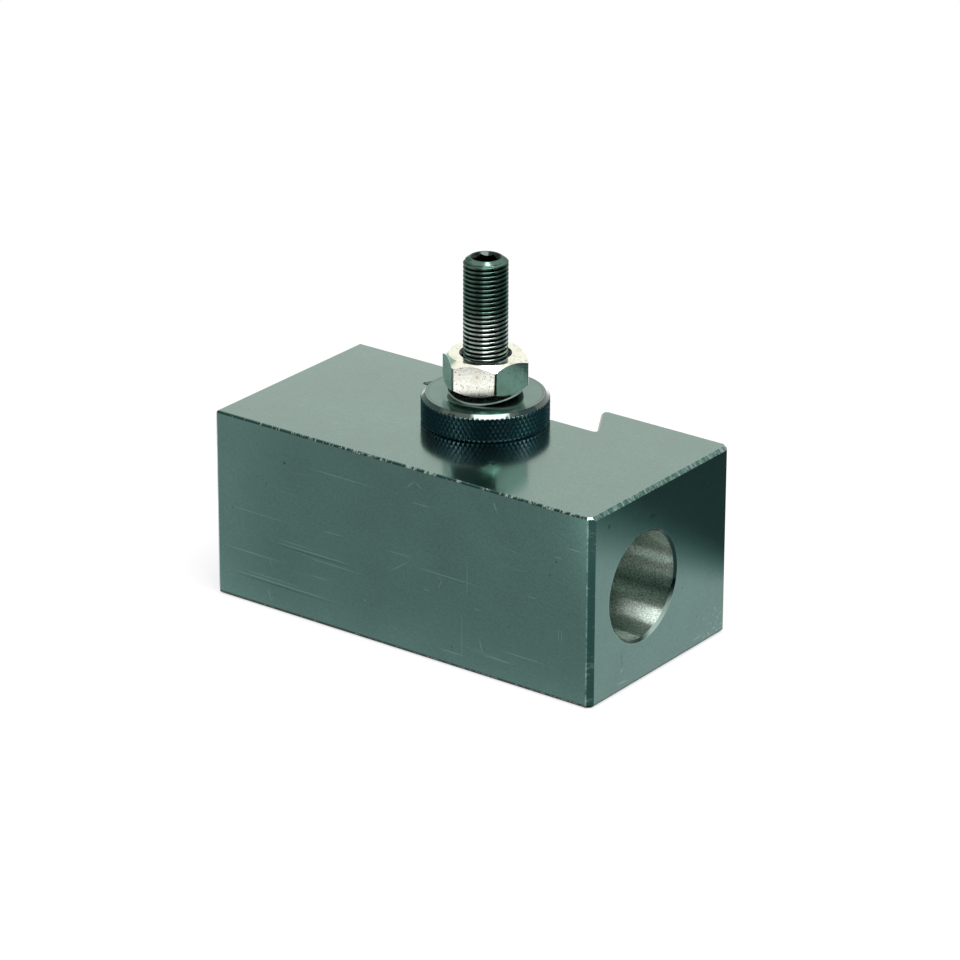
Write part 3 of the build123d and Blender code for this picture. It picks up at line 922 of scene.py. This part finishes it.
class HOLDER_OT_make_thumb_nut(bpy.types.Operator):
    """Makes the thumb nut with its diamond knurl"""

    bl_idname = "holder.make_thumb_nut"
    bl_label = "Make Thumb Nut"

    def execute(self, context):
        size = context.scene.holder_thumb_nut
        radius = (nut_high.x - nut_low.x) / 2
        foot, top = nut_low.z, nut_high.z
        inner, flare = size.hole / 2, size.countersink

        # Section of the nut, with its rim in steps of a quarter of a knurl diamond
        tooth_height = 2 * pi * radius / size.teeth / tan(size.knurl_angle)
        step = tooth_height / STEPS_PER_TOOTH
        start, end = foot + size.lower_chamfer, top - size.top_chamfer
        rim = [(radius, start)]
        while rim[-1][1] + step < end - 0.1 * step:
            rim.append((radius, rim[-1][1] + step))
        rim.append((radius, end))
        rises = [size.top_chamfer * part for part in (0.12, 0.24, 0.36, 1.0)]
        chamfer = [(radius - rise, end + rise) for rise in rises]
        line = [(inner, foot + flare), (inner + flare, foot), (radius - size.lower_chamfer, foot)]
        line += rim + chamfer + [(inner + flare, top), (inner, top - flare)]

        bm = bmesh.new()
        spun(bm, line, size.teeth * STEPS_PER_TOOTH, close=True)
        rim_faces = [face for face in bm.faces if all(from_axis(v)[0] > radius - 0.4 * MM for v in face.verts)]
        bmesh.ops.poke(bm, faces=rim_faces)

        # Diamonds are left between two sets of grooves, which climb opposite ways round the rim
        for vert in bm.verts:
            out, angle = from_axis(vert)
            if out < radius - size.knurl_depth:
                continue
            turn, climb = angle * size.teeth / (2 * pi), (vert.co.z - start) / tooth_height
            groove = max(abs(2 * ((turn + climb) % 1.0) - 1.0), abs(2 * ((turn - climb) % 1.0) - 1.0))
            set_radius(vert, min(out, radius - size.knurl_depth * groove))

        nut = add_piece(bm, "knurled_thumb_nut", turned_black_oxide(size))
        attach(nut, "thumb_nut")
        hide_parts("thumb_nut")
        return {"FINISHED"}


class HOLDER_OT_finish_washer(bpy.types.Operator):
    """Gives the spring washer its rolled steel finish"""

    bl_idname = "holder.finish_washer"
    bl_label = "Finish Washer"

    def execute(self, context):
        use_material(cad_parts["spring_washer"], rolled_spring_steel(context.scene.holder_washer))
        return {"FINISHED"}


class HOLDER_OT_finish_lock_nut(bpy.types.Operator):
    """Gives the lock nut its zinc plate"""

    bl_idname = "holder.finish_lock_nut"
    bl_label = "Finish Lock Nut"

    def execute(self, context):
        use_material(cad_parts["lock_nut"], bright_zinc_plate(context.scene.holder_lock_nut))
        return {"FINISHED"}


class HOLDER_OT_set_studio(bpy.types.Operator):
    """Sets the floor, the room light, the camera, the softbox and the cloths"""

    bl_idname = "holder.set_studio"
    bl_label = "Set Studio"

    def execute(self, context):
        settings = context.scene.holder_studio
        self.add_floor(settings)
        self.add_world(context.scene, settings)
        self.add_camera(context.scene)
        self.add_softbox(settings)
        self.add_cloths()
        return {"FINISHED"}

    def add_floor(self, settings):
        """Round white floor, with its top at the block's underside."""
        bm = bmesh.new()
        bmesh.ops.create_circle(bm, cap_ends=True, segments=96, radius=settings.floor_radius)
        floor = object_from(bm, "floor", studio_white("white_paper_floor"))

    def add_world(self, scene, settings):
        """White all round to the camera and to metal, and a soft room light on everything else."""
        scene.world = bpy.data.worlds.new("white_room")
        scene.world.use_nodes = True
        scene.world.node_tree.nodes.clear()
        add = partial(add_node, scene.world.node_tree)
        path = add("LightPath").outputs
        seen = path["Is Camera Ray"]
        for ray in ("Is Glossy Ray", "Is Transmission Ray"):
            seen = add("Math", [seen, path[ray]], operation="MAXIMUM")
        strength = add("MapRange", [seen, 0.0, 1.0, settings.room, 1.0])
        inputs = {"Factor": path["Is Glossy Ray"], "A": linear(LIGHT_WHITE), "B": linear(WARM_WHITE)}
        tint = add("Mix", inputs, data_type="RGBA")
        light = add("Background", {"Color": tint, "Strength": strength})
        add("OutputWorld", {"Surface": light})
        scene.view_settings.view_transform = "Standard"

    def add_camera(self, scene):
        """The photograph's camera, with its aim at an offset from the picture's middle."""
        azimuth, elevation, roll = (radians(a) for a in (CAMERA_AZIMUTH, CAMERA_ELEVATION, CAMERA_ROLL))
        back = Vector((sin(azimuth) * cos(elevation), -cos(azimuth) * cos(elevation), sin(elevation)))
        level = Vector((0.0, 0.0, 1.0)).cross(back).normalized()
        upright = back.cross(level)
        right = level * cos(roll) + upright * sin(roll)
        up = upright * cos(roll) - level * sin(roll)
        data = bpy.data.cameras.new("photo_camera")
        data.lens = CAMERA_LENS
        data.clip_start, data.clip_end = 0.05, 20.0
        camera = bpy.data.objects.new("photo_camera", data)
        place = CAMERA_AIM - right * CAMERA_OFFSET[0] - up * CAMERA_OFFSET[1] + back * CAMERA_DISTANCE
        turn = Matrix((right, up, back)).transposed().to_4x4()
        camera.matrix_world = Matrix.Translation(place) @ turn
        scene.collection.objects.link(camera)
        scene.camera = camera

    def add_softbox(self, settings):
        """Rectangular lamp that faces down, as bright all over as the setting says."""
        data = bpy.data.lights.new("overhead_softbox", "AREA")
        data.shape = "RECTANGLE"
        data.size, data.size_y = SOFTBOX_SIZE
        data.energy = settings.overhead * pi * data.size * data.size_y
        lamp = bpy.data.objects.new("overhead_softbox", data)
        lamp.location = SOFTBOX_PLACE
        lamp.visible_camera = False
        bpy.context.scene.collection.objects.link(lamp)

    def add_cloths(self):
        """Cloth round the camera's side of the room: dark green in the middle, and pale green at both sides."""
        toward_camera = Vector((sin(radians(CAMERA_AZIMUTH)), -cos(radians(CAMERA_AZIMUTH)), 0.0))
        dark, pale = studio_cloth("dark_green_cloth", DARK_GREEN), studio_cloth("pale_green_cloth", PALE_GREEN)
        for name, first, last, height, cloth in (
            ("left_pale_cloth", -158.0, -85.0, 1.4, pale),
            ("dark_cloth", -85.0, 70.0, 2.0, dark),
            ("right_pale_cloth", 70.0, 115.0, 2.0, pale),
        ):
            bm = bmesh.new()
            start = Matrix.Rotation(radians(first), 3, "Z") @ toward_camera * CLOTH_DISTANCE
            foot, head = (bm.verts.new(start + Vector((0.0, 0.0, level))) for level in (CLOTH_FOOT, height))
            edge = bm.edges.new((foot, head))
            sweep = last - first
            turn = {"angle": radians(sweep), "steps": round(sweep / CLOTH_STEP)}
            bmesh.ops.spin(bm, geom=[foot, head, edge], cent=(0.0, 0.0, 0.0), axis=(0.0, 0.0, 1.0), **turn)
            screen = object_from(bm, name, cloth)
            screen.visible_camera = screen.visible_diffuse = screen.visible_shadow = False


class HOLDER_PT_panel(bpy.types.Panel):
    """Lists the steps and their settings"""

    bl_idname = "HOLDER_PT_panel"
    bl_label = "Tool Holder"
    bl_space_type = "VIEW_3D"
    bl_region_type = "UI"
    bl_category = "Tool Holder"

    def draw(self, context):
        for group, (_, step) in STEPS.items():
            box = self.layout.box()
            settings = getattr(context.scene, group)
            for name in settings.__annotations__:
                box.prop(settings, name)
            box.operator(step.bl_idname)


# Each step's settings on the scene, with their group and the operator that uses them
STEPS = {
    "holder_block": (BlockFinish, HOLDER_OT_finish_block),
    "holder_stud": (StudSize, HOLDER_OT_make_stud),
    "holder_thumb_nut": (ThumbNutSize, HOLDER_OT_make_thumb_nut),
    "holder_washer": (WasherFinish, HOLDER_OT_finish_washer),
    "holder_lock_nut": (LockNutFinish, HOLDER_OT_finish_lock_nut),
    "holder_studio": (StudioSettings, HOLDER_OT_set_studio),
}
CLASSES = (*(cls for step in STEPS.values() for cls in step), HOLDER_PT_panel)


def register():
    for cls in CLASSES:
        bpy.utils.register_class(cls)
    for name, (group, _) in STEPS.items():
        setattr(bpy.types.Scene, name, PointerProperty(type=group))


def unregister():
    for name in STEPS:
        delattr(bpy.types.Scene, name)
    for cls in reversed(CLASSES):
        bpy.utils.unregister_class(cls)


def main():
    register()
    bpy.ops.holder.finish_block()
    bpy.ops.holder.make_stud()
    bpy.ops.holder.make_thumb_nut()
    bpy.ops.holder.finish_washer()
    bpy.ops.holder.finish_lock_nut()
    bpy.ops.holder.set_studio()


if __name__ == "__main__":
    main()
